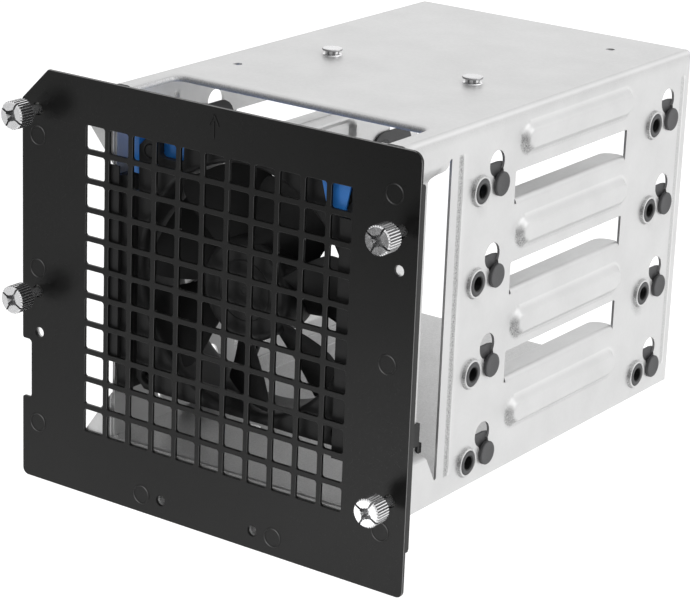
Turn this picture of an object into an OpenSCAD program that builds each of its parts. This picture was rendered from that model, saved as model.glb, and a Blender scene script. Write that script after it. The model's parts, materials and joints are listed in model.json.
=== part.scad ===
// Four-bay drive cage with a vented front plate and a lift-out cooling fan.
// X runs across the cage, Y runs from the front plate to the open rear, Z is up.
// The origin is on the back face of the front frame, midway between the two lower
// fixing holes of the front plate. Millimetres.

/* [Sheet metal] */
// Thickness of the steel cage sheet
sheet = 0.8; // [0.7:0.05:0.9]
// Thickness of the front plate
plate_t = 1.0; // [0.8:0.1:1.2]
// Outer radius of the folds between the top and the side walls
fold_r = 1.65; // [1.2:0.05:2.0]

/* [Cage] */
// Outer width of the cage
cage_w = 105.2; // [105:0.1:106]
// Length of the cage behind the front frame
cage_l = 162.1; // [158:0.1:168]
// Outer height of the cage
cage_h = 113.2; // [113:0.1:115]
// Distance of the cage's centre from the origin, to the right
cage_x = 13.7; // [13:0.1:14]
// Height of the cage's underside above the origin
cage_z = 14.9; // [14.5:0.1:15.5]

/* [Front plate] */
// Width of the front plate
plate_w = 147; // [145:0.5:149]
// Height of the front plate
plate_h = 134; // [133:0.5:136]
// Left edge of the front plate from the origin
plate_left = 74.4; // [73.5:0.1:75]
// Distance of the plate's lower edge below the origin
plate_drop = 5.9; // [5:0.1:7]
// Number of grille holes each way
grille_n = 11; // [9:2:11]
// Spacing of the grille holes
grille_pitch = 9.12; // [8.8:0.02:9.2]
// Width of one grille hole
grille_hole = 7.4; // [6.5:0.1:7.6]

/* [Drive bays] */
// Height of the upper row of drive mounting holes
row_z = 107.3; // [107.1:0.1:107.4]
// Spacing of the drive bays
row_pitch = 28.2; // [28.1:0.05:28.3]
// Distance of the front drive mounting holes from the frame
hole_y = 39; // [38.9:0.1:39.5]
// Spacing of the drive mounting holes along a drive
hole_span = 101.6; // [101.6]

/* [Fan] */
// Width and height of the fan
fan_w = 80; // [80]
// Depth of the fan
fan_d = 20; // [18:0.5:20]
// Centre of the fan, across
fan_x = 9.6; // [9.2:0.1:9.8]
// Centre of the fan, up
fan_z = 73.5; // [73:0.1:74]
// Number of fan blades
blades = 7; // [5:1:9]

/* [Thumbscrews] */
// Radius of a thumbscrew head
head_r = 4.4; // [4:0.1:4.6]
// Length of a thumbscrew head
head_l = 6; // [5:0.5:7]
// Gap between a pulled-out head and the front plate
head_gap = 6; // [5.6:0.1:6]

/* [Hidden] */
$fn = 48;
eps = 0.01;
steel = [0.80, 0.81, 0.82];
black = [0.09, 0.09, 0.10];
rubber = [0.13, 0.13, 0.14];
blue = [0.10, 0.34, 0.80];
silver = [0.78, 0.78, 0.80];

// Faces of the cage
x_right = cage_x + cage_w / 2;
x_left = cage_x - cage_w / 2;
z_top = cage_z + cage_h;
frame_t = sheet;
y_frame = -frame_t;
y_plate = y_frame - plate_t;

// Rows and columns of the drive mounting holes
rows = [for (i = [0:3]) row_z - i * row_pitch];
cols = [hole_y, hole_y + hole_span];
// The isolator button turns about its bushing from the entry hole to its seat
button_reach = 10.65;
entry_turn = 37.7;
entry_r = 4;
neck_r = 2.6;
bushing_r = 3.8;
bushing_bore_r = 2.1;
collar_r = 4.7;
collar_h = 1.4;
pad_r = 6.5;
pad_t = 0.85;
button_r = 3.7;
button_h = 1.2;

// Wall slots, the shelves bent in from them, and the ridges
slot_y0 = 58.1;
slot_y1 = 123.5;
slot_up = 1.9;
shelf_down = 7.45;
shelf_w = 7.5;
ridge_y0 = 60;
ridge_y1 = 125;
ridge_top_z = z_top - 9.9;
ridge_pitch = 28.8;
ridge_half = 4.5;
ridge_out = 2;
ridge_r = (ridge_half * ridge_half + ridge_out * ridge_out) / (2 * ridge_out);
ridge_z = [for (i = [0:3]) ridge_top_z - i * ridge_pitch];
bead_y = 28.3;
rear_bead_y = 158.4;

// Side window behind the front plate, and the step in the right wall in front of it
window_y0 = 12.1;
window_y1 = 23.1;
step_in = 3.5;
step_y = 16.4;
step_z0 = cage_z + 17.1;
step_z1 = z_top - 14;
step_slope = 5;

// Opening in the top for the fan
open_x0 = x_left + 5.7;
open_x1 = x_right - 6.8;
open_y = 22;
lip_h = 2;

// Fan faces
fan_y0 = 1;
fan_y1 = fan_y0 + fan_d;
fan_x0 = fan_x - fan_w / 2;
fan_x1 = fan_x + fan_w / 2;
fan_z0 = fan_z - fan_w / 2;
fan_z1 = fan_z + fan_w / 2;
duct_r = 38;
flange_t = 2.5;
ear = 12;
fan_hole = 71.5;
ear_hole_r = 2.2;
pin_r = 2.15;
hub_r = 16;
shaft_r = 1;
bearing_r = 3.2;
blade_r = 36.8;
blade_chord = 19;
blade_pitch = 38;
blade_turn = 10.7;
leg_t = 1.9;
slide_gap = 0.3;
rail_left_z = 100;
rail_right_z = 103.5;
hook_z = 40.9;
lip_z0 = 41;
lip_z1 = 102.9;
handle_z = 118.6;

// Thumbscrews: across, up
screws = [[-68.2, 115.2], [-68.2, 56.7], [66.8, 104.4], [66.8, 23.3]];
neck_screw_r = 1.45;
thread_r = 1.75;
thread_l = 3;
ring_r = 2.9;
ring_t = 0.8;
ring_y = 0.1;
thread_y = ring_y + ring_t + 0.1;
screw_hole_r = 1.95;

// Holes and marks in the front plate: across, up
small_hole_r = 1.65;
small_holes = [[-17.75, 0], [17.75, 0], [-67.4, 43.3], [66.5, 92.8]];
thread_collar_r = 2.6;
thread_collar_h = 2.8;
marks = [[-68, 106.9], [-68, 64.3], [-68, 13], [-25.4, 0], [25.4, 0],
    [64, 13], [64, 64.3], [64, 114.7]];
mark_r = 3.3;
rivets = [[-34.5, 119], [61.5, 119], [-20, 9], [14, 9], [48, 9]];
rivet_r = 1.2;

// A hole or a pin along X, and one along Y
module bar_x(r, x0, x1, y, z) {
    translate([x0, y, z]) rotate([0, 90, 0]) cylinder(r = r, h = x1 - x0);
}
module bar_y(r, y0, y1, x, z) {
    translate([x, y0, z]) rotate([-90, 0, 0]) cylinder(r = r, h = y1 - y0);
}
module block(x0, x1, y0, y1, z0, z1) {
    translate([x0, y0, z0]) cube([x1 - x0, y1 - y0, z1 - z0]);
}
// A shape drawn in X and Z, pushed from y0 to y1
module along_y(y0, y1) {
    translate([0, y1, 0]) rotate([90, 0, 0]) linear_extrude(y1 - y0) children();
}
// A shape drawn in Y and Z, pushed from x0 to x1
module along_x(x0, x1) {
    translate([x0, 0, 0]) rotate([90, 0, 90]) linear_extrude(x1 - x0) children();
}
// Every isolator place of both walls, in Y and Z
module each_isolator() {
    for (z = rows, y = cols) translate([0, y, z]) children();
}
// The side of the cage that a child is drawn for: right as drawn, or mirrored to the left
module on_side(right) {
    translate([cage_x, 0, 0]) mirror([right ? 0 : 1, 0, 0])
        translate([-cage_x, 0, 0]) children();
}

// The top and its two folds, in X and Z; the walls carry on below the folds
module folded_profile() {
    z_fold = z_top - fold_r;
    difference() {
        intersection() {
            union() {
                translate([x_left + fold_r, cage_z]) square([cage_w - 2 * fold_r, cage_h]);
                for (x = [x_left + fold_r, x_right - fold_r])
                    translate([x, z_fold]) circle(r = fold_r);
            }
            translate([x_left, z_fold]) square([cage_w, fold_r]);
        }
        translate([x_left + fold_r, cage_z]) square([cage_w - 2 * fold_r, cage_h - sheet]);
        for (x = [x_left + fold_r, x_right - fold_r])
            translate([x, z_fold]) circle(r = fold_r - sheet);
    }
}
module window_outline() {
    polygon([[window_y0, step_z0 + 1.5], [window_y1 - 1, cage_z + 7.2], [window_y1, cage_z + 7.6],
        [window_y1, z_top - 7.5], [window_y1 - 1.6, z_top - 9.5], [window_y0, step_z1]]);
}
module slots_and_holes() {
    for (i = [0:2])
        block(x_left - 1, x_right + 1, slot_y0, slot_y1,
            rows[i] - shelf_down, rows[i] + slot_up);
    each_isolator() {
        bar_x(bushing_r, x_left - 1, x_right + 1, 0, 0);
        bar_x(neck_r, x_left - 1, x_right + 1, button_reach, 0);
        rotate([entry_turn, 0, 0])
            bar_x(entry_r, x_left - 1, x_right + 1, button_reach, 0);
        rotate([entry_turn / 2, 0, 0])
            block(x_left - 1, x_right + 1, button_reach - 3, button_reach + 2, -3, 3);
    }
}
module side_features() {
    each_isolator() difference() {
        bar_x(collar_r, x_right - sheet / 2, x_right + collar_h, 0, 0);
        bar_x(bushing_r, x_right - 1, x_right + collar_h + 1, 0, 0);
    }
    for (z = ridge_z) difference() {
        ridge(z);
        ridge_groove(z);
    }
    for (y = [bead_y, rear_bead_y])
        block(x_right - sheet / 2, x_right + 0.4, y - 1, y + 1, cage_z + 7.5, z_top - 8);
}
// A ridge pressed outwards, and the groove that it leaves inside the wall
module ridge(z) {
    intersection() {
        bar_y(ridge_r, ridge_y0, ridge_y1, x_right + ridge_out - ridge_r, z);
        block(x_right - sheet / 2, x_right + ridge_out + 1, 0, cage_l, z - 9, z + 9);
    }
}
module ridge_groove(z) {
    bar_y(ridge_r - sheet, ridge_y0 + sheet, ridge_y1 - sheet,
        x_right + ridge_out - ridge_r, z);
}
// The front of the right wall steps in, to make room for the latch arm and a thumbscrew
module stepped_wall() {
    along_y(0, step_y) polygon([[x_right, step_z1 + step_slope],
        [x_right - step_in, step_z1], [x_right - step_in, step_z0],
        [x_right, step_z0], [x_right, step_z0 - sheet],
        [x_right - step_in - sheet, step_z0 - sheet], [x_right - step_in - sheet, step_z1 + 0.3],
        [x_right - sheet, step_z1 + step_slope + 0.3]]);
}
module wall(right) {
    color(steel) {
        difference() {
            on_side(right)
                block(x_right - sheet, x_right, 0, cage_l, cage_z, z_top - fold_r);
            along_x(x_left - 1, x_right + 1) window_outline();
            slots_and_holes();
            on_side(right) for (z = ridge_z) ridge_groove(z);
            block(x_right - 1.5, x_right + 1, -1, window_y0 + 0.2, step_z0, step_z1);
            block(x_right - 2, x_right + 1, -1, window_y0 + 5, step_z1 - 0.1,
                step_z1 + step_slope);
            block(x_right - 2, x_right + 1, -1, 9.6, screws[3][1] - 3.5, screws[3][1] + 3.5);
        }
        on_side(right) side_features();
        if (right) stepped_wall();
    }
}
// The shelves under the drives are bent in from the walls' slots
module shelves() {
    color(steel) for (right = [true, false], i = [0:2]) on_side(right)
        block(x_right - shelf_w, x_right, slot_y0 + 2, slot_y1 - 2,
            rows[i] - shelf_down, rows[i] - shelf_down + sheet);
}
module top_panel() {
    color(steel) {
        difference() {
            along_y(0, cage_l) folded_profile();
            block(open_x0, open_x1, -1, open_y, z_top - 3, z_top + 1);
            for (p = [[-27.3, 44.2], [46.6, 144.4]])
                translate([p[0], p[1], z_top - 2]) cylinder(r = 1.4, h = 3);
        }
        block(open_x0, open_x1, open_y - sheet, open_y, z_top - lip_h, z_top);
        for (x = [open_x0 - eps, open_x1 - sheet + eps])
            block(x, x + sheet, 0, open_y, z_top - lip_h, z_top);
        difference() {
            for (x = [x_left + sheet + 0.05, x_right - sheet - 8.05])
                block(x, x + 8, 0, sheet, 115, z_top - sheet / 2);
            for (p = [rivets[0], rivets[1]]) bar_y(rivet_r, -1, 2, p[0], p[1]);
        }
    }
}
module bottom_panel() {
    gap = sheet + 0.02;
    color(steel) difference() {
        union() {
            block(x_left + gap, x_right - gap, 0, cage_l, cage_z, cage_z + sheet);
            for (x = [x_left + gap, x_right - gap - sheet])
                block(x, x + sheet, 60, 130, cage_z, cage_z + 7);
            block(x_left + 6, x_right - 6, 0, sheet, cage_z - 10, cage_z + eps);
        }
        for (p = [rivets[2], rivets[3], rivets[4]]) bar_y(rivet_r, -1, 2, p[0], p[1]);
        translate([-10, 34, cage_z - 1]) cylinder(r = 2.5, h = 3);
        translate([36, 34, cage_z - 1]) cylinder(r = 2.5, h = 3);
    }
}

module plate_outline() {
    r = 2.2;
    chamfer = 10.4;
    x0 = -plate_left;
    x1 = x0 + plate_w;
    z0 = -plate_drop;
    z1 = z0 + plate_h;
    difference() {
        union() {
            translate([x0 + r, z0]) square([plate_w - 2 * r, plate_h]);
            translate([x0, z0 + r]) square([plate_w, plate_h - 2 * r]);
            for (p = [[x0 + r, z0 + r], [x1 - r, z0 + r], [x1 - r, z1 - r]])
                translate(p) circle(r = r);
        }
        polygon([[x0 - 1, z1 - chamfer - 1], [x0 + chamfer + 1, z1 + 1], [x0 - 1, z1 + 1]]);
        translate([x0 - 1, 20.8]) square([4.6, 19.3]);
    }
}
module grille_opening() {
    c = 0.7;
    a = grille_hole / 2;
    polygon([[-a + c, -a], [a - c, -a], [a, -a + c], [a, a - c],
        [a - c, a], [-a + c, a], [-a, a - c], [-a, -a + c]]);
}
module grille() {
    x0 = 0.5 - (grille_n - 1) / 2 * grille_pitch;
    z0 = 64.4 - (grille_n - 1) / 2 * grille_pitch;
    for (i = [0:grille_n - 1], j = [0:grille_n - 1])
        translate([x0 + i * grille_pitch, z0 + j * grille_pitch]) grille_opening();
}
module mark_rings() {
    for (p = marks) difference() {
        bar_y(mark_r, y_plate - 1, y_plate + 0.2, p[0], p[1]);
        bar_y(mark_r - 0.35, y_plate - 2, y_plate + 1, p[0], p[1]);
    }
}
// Two strokes of the arrow's head and its shaft, cut a little into the face
module arrow() {
    tip = z_top - 2.4;
    for (turn = [-28, 28])
        translate([0, y_plate - 1, tip]) rotate([0, turn, 0])
            translate([-0.15, 0, -3.8]) cube([0.3, 1.15, 3.8]);
    block(-0.15, 0.15, y_plate - 1, y_plate + 0.15, tip - 7.3, tip - 2);
}
module front_plate() {
    x1 = plate_w - plate_left;
    color(black) difference() {
        union() {
            along_y(y_plate, y_frame) difference() {
                plate_outline();
                grille();
            }
            block(x1 - plate_t, x1, y_frame - eps, 0.8, 8.4, 118.7);
        }
        for (p = screws) bar_y(screw_hole_r, y_plate - 1, 1, p[0], p[1]);
        for (p = small_holes) bar_y(small_hole_r, y_plate - 1, 1, p[0], p[1]);
        mark_rings();
        arrow();
    }
}
// A flat frame behind the plate, with two gussets beside the cage's left wall, and
// a thread drawn back behind each of the two lower holes
module frame_opening() {
    wall = x_left + 0.2;
    z0 = cage_z + 0.6;
    z1 = z_top - 13;
    polygon([[-57, z0], [wall - 10.3, z0], [wall, z0 + 14.5], [wall, z0], [57, z0],
        [57, z1], [wall, z1], [wall, z1 - 12.1], [wall - 10.5, z1], [-57, z1]]);
}
module front_frame() {
    left = -plate_left + 2;
    right = plate_w - plate_left - 2;
    color(steel) difference() {
        union() {
            block(left, right, y_frame, 0, -plate_drop + 2, z_top - 2);
            for (i = [0, 1]) bar_y(thread_collar_r, -eps, thread_collar_h, small_holes[i][0],
                small_holes[i][1]);
        }
        along_y(y_frame - 1, 1) frame_opening();
        block(left - 1, left + 7.6, y_frame - 1, 1, z_top - 9.6, z_top);
        block(left - 1, left + 2.4, y_frame - 1, 1, 20, 41);
        for (p = screws) bar_y(screw_hole_r, y_frame - 1, 1, p[0], p[1]);
        for (p = small_holes) bar_y(small_hole_r, y_frame - 1, thread_collar_h + 1, p[0], p[1]);
        for (p = rivets) bar_y(rivet_r, y_frame - 1, 1, p[0], p[1]);
    }
}
module frame_rivets() {
    color(silver) for (p = rivets) {
        bar_y(rivet_r - 0.01, y_frame, sheet, p[0], p[1]);
        bar_y(2.2, sheet, sheet + 0.7, p[0], p[1]);
    }
}
module top_studs() {
    color(silver) for (x = [-13.9, 38.6]) translate([x, 75.2, z_top]) {
        cylinder(r = 2.2, h = 1.5);
        translate([0, 0, 1.4]) cylinder(r = 3.3, h = 0.8);
        cylinder(r = 3, h = 0.3);
    }
}

// Isolators: a rubber pad inside the wall, a bushing in the collar, and a button outside
module isolator_pad() {
    inner = x_right - sheet;
    difference() {
        union() {
            for (y = [0, button_reach]) bar_x(pad_r, inner - pad_t, inner, y, 0);
            block(inner - pad_t, inner, 0, button_reach, -pad_r, pad_r);
        }
        bar_x(bushing_r, inner - 2, inner + 1, 0, 0);
    }
}
module isolator_bushing() {
    inner = x_right - sheet - pad_t;
    difference() {
        bar_x(bushing_r - 0.01, inner, x_right + collar_h - 0.3, 0, 0);
        bar_x(bushing_bore_r, inner - 1, x_right + collar_h + 1, 0, 0);
    }
}
module isolator_button() {
    bar_x(neck_r - 0.05, x_right - sheet, x_right, button_reach, 0);
    bar_x(button_r, x_right, x_right + button_h, button_reach, 0);
}
module isolator_pads(right) {
    color(rubber) on_side(right) each_isolator() isolator_pad();
}
module isolator_bushings(right) {
    color(rubber) on_side(right) each_isolator() isolator_bushing();
}
module isolator_buttons(right) {
    color(rubber) on_side(right) each_isolator() isolator_button();
}

// The bracket stays in the cage and guides the fan at both sides and below. A lip covers
// the left wall's front edge, and a hook grips the rear edge of the stepped wall.
module fan_bracket() {
    wall = x_left + sheet;
    leg0 = fan_x0 - leg_t - slide_gap;
    leg1 = fan_x1 + leg_t + slide_gap;
    inner = x_right - step_in - sheet;
    outer = x_right - step_in;
    z0 = fan_z0 - 3.3;
    rib = 1.5;
    color(black) {
        block(wall, wall + rib, fan_y0, fan_y1, z0, rail_left_z);
        block(wall + 0.05, wall + rib, -0.7, fan_y0 + eps, lip_z0, rail_left_z);
        block(x_left - 1.9, wall + rib, -0.7, -0.1, lip_z0, lip_z1);
        for (y = [fan_y0, fan_y1 - rib])
            block(wall, leg0, y, y + rib, z0, rail_left_z);
        block(wall, inner, 12, fan_y1, z0, fan_z0 - 0.2);
        block(leg1, leg1 + rib, fan_y0, fan_y1, z0, rail_right_z);
        block(leg1, inner, fan_y0, fan_y0 + rib, z0, rail_right_z);
        block(leg1 - 7.4, leg1 + 3, 0.1, 0.8, z0, rail_right_z);
        block(leg1, leg1 + 3, 0.1, fan_y0 + eps, z0, rail_right_z);
        block(inner - 2, outer + 0.8, step_y + 0.1, step_y + 0.8, z0, hook_z);
        block(outer + 0.1, outer + 0.8, step_y - 4.9, step_y + 0.8, hook_z - 7, hook_z);
        block(outer + 0.1, outer + 0.8, step_y - 3, step_y - 2.2, hook_z - eps, hook_z + 9);
    }
}
module fan_frame() {
    color(black) difference() {
        union() {
            block(fan_x0, fan_x1, fan_y0, fan_y0 + flange_t, fan_z0, fan_z1);
            block(fan_x0, fan_x1, fan_y1 - flange_t, fan_y1, fan_z0, fan_z1);
            bar_y(duct_r + 1.5, fan_y0, fan_y1, fan_x, fan_z);
        }
        difference() {
            bar_y(duct_r, fan_y0 - 1, fan_y1 + 1, fan_x, fan_z);
            bar_y(12, fan_y1 - 1.5, fan_y1, fan_x, fan_z);
            for (turn = [20:90:290]) translate([fan_x, 0, fan_z]) rotate([0, turn, 0])
                block(0, duct_r + 1, fan_y1 - flange_t, fan_y1 - 0.1, -1.5, 1.5);
        }
        bar_y(bearing_r, fan_y1 - 1.5 - 4, fan_y1 - 0.6, fan_x, fan_z);
        for (x = [-1, 1], z = [-1, 1])
            bar_y(ear_hole_r, fan_y0 - 1, fan_y1 + 1, fan_x + x * fan_hole / 2,
                fan_z + z * fan_hole / 2);
        translate([fan_x - fan_w / 2 + 12.4, 0, 0])
            block(-4.6, 4.6, fan_y0 - 1, fan_y0 + flange_t + eps, fan_z1 - 5.5, fan_z1 + 1);
        for (turn = [0:90:270]) translate([fan_x, 0, fan_z]) rotate([0, turn + 45, 0])
            block(-9, 9, fan_y0 - 1, fan_y1 + 1, fan_w / 2 * sqrt(2) - 2.2, fan_w);
    }
}
// The handle sits between the fan's flanges, and its bar lies on top of the fan.
// Its sides clip round the fan, and a tapered thumb tab hangs down in front.
module fan_handle() {
    y0 = fan_y0 + flange_t + 0.3;
    y1 = fan_y1 - flange_t - 0.3;
    x0 = fan_x0 - leg_t;
    x1 = fan_x1 + leg_t;
    wing = 21;
    side_z = fan_z1 - 12;
    tab_z = fan_z1 - 8.3;
    tab_x = [36.2, 39.8, 46.1, 48.8];
    color(blue) {
        block(x0, x1, y0, y1, fan_z1 + 0.2, handle_z);
        block(x0, fan_x0 - 0.1, fan_y0 + 0.2, y1, side_z, fan_z1 + 0.3);
        block(fan_x1 + 0.1, x1, fan_y0 + 0.2, y1, side_z, fan_z1 + 0.3);
        difference() {
            union() {
                block(x0, fan_x0 + wing, y0, y1, fan_z1 - 7.5, fan_z1 + 0.3);
                block(fan_x1 - wing, x1, y0, y1, fan_z1 - 7.5, fan_z1 + 0.3);
            }
            bar_y(duct_r + 1.8, y0 - 1, y1 + 1, fan_x, fan_z);
            for (x = [-1, 1]) bar_y(pin_r + 0.2, y0 - 1, y1 + 1, fan_x + x * fan_hole / 2,
                fan_z + fan_hole / 2);
        }
        along_y(0.15, 0.85) polygon([[tab_x[0], handle_z], [tab_x[1], tab_z],
            [tab_x[2], tab_z], [tab_x[3], handle_z]]);
        block(tab_x[0], tab_x[3], 0.15, y0 + eps, fan_z1 + 0.2, handle_z);
    }
}
// Two pins hold the handle to the fan's upper ears
module fan_pins() {
    color(black) for (x = [-1, 1])
        bar_y(pin_r, fan_y0 + 0.1, fan_y1 - 0.1, fan_x + x * fan_hole / 2,
            fan_z + fan_hole / 2);
}
module fan_rotor() {
    y0 = fan_y0 + 0.8;
    y1 = fan_y1 - 4;
    color(black) {
        difference() {
            bar_y(hub_r, y0, y1, fan_x, fan_z);
            bar_y(hub_r - 1.4, y0 + 1.4, y1 + 1, fan_x, fan_z);
            bar_y(shaft_r, y0 - 1, y1, fan_x, fan_z);
        }
        for (k = [0:blades - 1])
            translate([fan_x, fan_y0 + 7.5, fan_z]) rotate([0, k * 360 / blades - blade_turn, 0])
                translate([hub_r - 0.6, 0, 0]) rotate([blade_pitch, 0, 0])
                    translate([0, -0.7, -blade_chord / 2])
                        cube([blade_r - hub_r - 0.3, 1.4, blade_chord]);
    }
}
module fan_shaft() {
    color(silver) bar_y(shaft_r, fan_y0 + 1, fan_y1 - 1, fan_x, fan_z);
}
module fan_bearing() {
    color([0.72, 0.55, 0.3]) difference() {
        bar_y(bearing_r - 0.01, fan_y0 + 5, fan_y1 - 1.6, fan_x, fan_z);
        bar_y(shaft_r + 0.05, fan_y0, fan_y1 + 1, fan_x, fan_z);
    }
}
module fan_stator() {
    color([0.55, 0.3, 0.15]) difference() {
        bar_y(12.5, fan_y0 + 5.5, fan_y0 + 13, fan_x, fan_z);
        bar_y(bearing_r, fan_y0, fan_y1, fan_x, fan_z);
        for (turn = [45:90:315]) translate([fan_x, 0, fan_z]) rotate([0, turn, 0])
            block(6, 13, fan_y0, fan_y1, -2, 2);
    }
}
module fan_board() {
    color([0.05, 0.35, 0.15]) difference() {
        bar_y(11.5, fan_y0 + 15.2, fan_y0 + 16.4, fan_x, fan_z);
        bar_y(bearing_r, fan_y0, fan_y1, fan_x, fan_z);
    }
}

module thumbscrew(i) {
    x = screws[i][0];
    z = screws[i][1];
    y_back = y_plate - head_gap;
    color(silver) difference() {
        union() {
            bar_y(head_r, y_back - head_l, y_back, x, z);
            bar_y(neck_screw_r, y_back - eps, thread_y, x, z);
            bar_y(thread_r, thread_y, thread_y + thread_l, x, z);
        }
        block(x - 5, x + 5, y_back - head_l - 1, y_back - head_l + 1.2, z - 0.5, z + 0.5);
        block(x - 0.6, x + 0.6, y_back - head_l - 1, y_back - head_l + 1.8, z - 2.6, z + 2.6);
    }
}
module retaining_ring(i) {
    x = screws[i][0];
    z = screws[i][1];
    color([0.9, 0.9, 0.88]) difference() {
        bar_y(ring_r, ring_y, ring_y + ring_t, x, z);
        bar_y(neck_screw_r + 0.05, ring_y - 1, ring_y + 2, x, z);
    }
}

top_panel();
wall(false);  // left_wall
wall(true);  // right_wall
shelves();
bottom_panel();
front_plate();
front_frame();
frame_rivets();
top_studs();
isolator_pads(false);  // isolator_pads_left
isolator_pads(true);  // isolator_pads_right
isolator_bushings(false);  // isolator_bushings_left
isolator_bushings(true);  // isolator_bushings_right
isolator_buttons(false);  // isolator_buttons_left
isolator_buttons(true);  // isolator_buttons_right
fan_bracket();
fan_handle();
fan_frame();
fan_pins();
fan_rotor();
fan_shaft();
fan_bearing();
fan_stator();
fan_board();
retaining_ring(0);  // retaining_ring_upper_left
retaining_ring(1);  // retaining_ring_lower_left
retaining_ring(2);  // retaining_ring_upper_right
retaining_ring(3);  // retaining_ring_lower_right
thumbscrew(0);  // thumbscrew_upper_left
thumbscrew(1);  // thumbscrew_lower_left
thumbscrew(2);  // thumbscrew_upper_right
thumbscrew(3);  // thumbscrew_lower_right
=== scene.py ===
import json
import math
import bpy
import bmesh
from mathutils import Matrix, Vector

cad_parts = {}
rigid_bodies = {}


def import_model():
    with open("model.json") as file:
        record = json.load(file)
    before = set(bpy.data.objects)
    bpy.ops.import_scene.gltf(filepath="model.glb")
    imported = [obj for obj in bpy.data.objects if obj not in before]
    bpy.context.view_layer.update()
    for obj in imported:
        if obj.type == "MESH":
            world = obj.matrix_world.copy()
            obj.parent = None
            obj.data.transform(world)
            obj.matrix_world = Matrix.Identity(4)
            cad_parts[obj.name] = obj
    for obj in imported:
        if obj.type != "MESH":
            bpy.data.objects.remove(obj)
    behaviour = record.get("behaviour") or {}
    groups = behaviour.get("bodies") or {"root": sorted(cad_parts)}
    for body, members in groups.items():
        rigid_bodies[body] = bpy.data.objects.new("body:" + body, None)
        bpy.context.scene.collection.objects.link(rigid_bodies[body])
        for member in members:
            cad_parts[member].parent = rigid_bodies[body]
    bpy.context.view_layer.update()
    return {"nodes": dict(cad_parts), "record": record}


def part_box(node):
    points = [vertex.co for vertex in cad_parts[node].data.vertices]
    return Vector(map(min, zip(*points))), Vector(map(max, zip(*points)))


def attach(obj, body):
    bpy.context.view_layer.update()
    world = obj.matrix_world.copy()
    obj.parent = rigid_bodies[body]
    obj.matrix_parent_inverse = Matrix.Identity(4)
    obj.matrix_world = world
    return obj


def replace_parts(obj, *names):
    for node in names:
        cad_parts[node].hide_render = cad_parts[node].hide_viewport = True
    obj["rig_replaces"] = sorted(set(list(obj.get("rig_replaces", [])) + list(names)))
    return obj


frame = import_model()
MM = 0.001


def linked(name, data):
    """A new object in the scene that shows the data."""
    obj = bpy.data.objects.new(name, data)
    bpy.context.scene.collection.objects.link(obj)
    return obj


# ---- camera, with its directions and place in the shared frame

RIGHT = (0.81162, 0.58301, 0.03707)
DOWN = (0.21449, -0.23838, -0.94719)
AHEAD = (-0.54339, 0.77671, -0.31852)
CAMERA_AT = (0.45678, -0.58536, 0.31952)
camera_data = bpy.data.cameras.new("camera")
camera_data.sensor_width = 36
camera_data.lens = 137.94
camera_data.clip_end = 20
camera = linked("camera", camera_data)
camera.matrix_world = Matrix([(RIGHT[i], -DOWN[i], -AHEAD[i], CAMERA_AT[i]) for i in range(3)]
                             + [(0, 0, 0, 1)])
bpy.context.scene.camera = camera
view = bpy.context.scene.view_settings
view.view_transform = "Standard"
view.look = "None"

# ---- materials


def new_material(name):
    mat = bpy.data.materials.new(name)
    mat.use_nodes = True
    return mat, mat.node_tree, mat.node_tree.nodes["Principled BSDF"]


def noise(tree, scale, detail=3.0, rough=0.5):
    """Fractal noise in the piece's own coordinates, from 0 to 1."""
    coords = tree.nodes.new("ShaderNodeTexCoord")
    texture = tree.nodes.new("ShaderNodeTexNoise")
    texture.inputs["Scale"].default_value = scale
    texture.inputs["Detail"].default_value = detail
    texture.inputs["Roughness"].default_value = rough
    tree.links.new(coords.outputs["Object"], texture.inputs["Vector"])
    return texture.outputs["Fac"]


def ramp(tree, source, stops):
    """A colour or grey value that follows the source through the stops."""
    node = tree.nodes.new("ShaderNodeValToRGB")
    while len(node.color_ramp.elements) < len(stops):
        node.color_ramp.elements.new(0.5)
    for element, (pos, value) in zip(node.color_ramp.elements, stops):
        element.position = pos
        if isinstance(value, (int, float)):
            value = (value, value, value)
        element.color = (*value, 1)
    tree.links.new(source, node.inputs["Fac"])
    return node.outputs["Color"]


def bump(tree, shader, source, strength, distance):
    node = tree.nodes.new("ShaderNodeBump")
    node.inputs["Strength"].default_value = strength
    node.inputs["Distance"].default_value = distance
    tree.links.new(source, node.inputs["Height"])
    tree.links.new(node.outputs["Normal"], shader.inputs["Normal"])


def plain(name, dark, light, rough, metallic=0.0, scale=900, bump_mm=0.02, strength=0.3,
          rough_spread=0.06, specular=0.5):
    """A finish with soft colour patches, and a grain in its gloss and its surface."""
    mat, tree, shader = new_material(name)
    grain = noise(tree, scale, 4)
    patches = noise(tree, 45, 2)
    tree.links.new(ramp(tree, patches, [(0.3, dark), (0.7, light)]), shader.inputs["Base Color"])
    gloss = ramp(tree, grain, [(0.3, rough - rough_spread), (0.7, rough + rough_spread)])
    tree.links.new(gloss, shader.inputs["Roughness"])
    shader.inputs["Metallic"].default_value = metallic
    shader.inputs["Specular IOR Level"].default_value = specular
    if strength:
        bump(tree, shader, grain, strength, bump_mm * MM)
    return mat


def marked(tree, name):
    """A value stored on a mesh, from 0 to 1."""
    node = tree.nodes.new("ShaderNodeAttribute")
    node.attribute_name = name
    return node.outputs["Fac"]


def blend(tree, amount, first, second):
    """A colour between two, by amount. The second may be a grey value."""
    mix = tree.nodes.new("ShaderNodeMix")
    mix.data_type = "RGBA"
    tree.links.new(amount, mix.inputs["Factor"])
    tree.links.new(first, mix.inputs["A"])
    if isinstance(second, float):
        mix.inputs["B"].default_value = (second, second, second, 1)
    else:
        tree.links.new(second, mix.inputs["B"])
    return mix.outputs["Result"]


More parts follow.
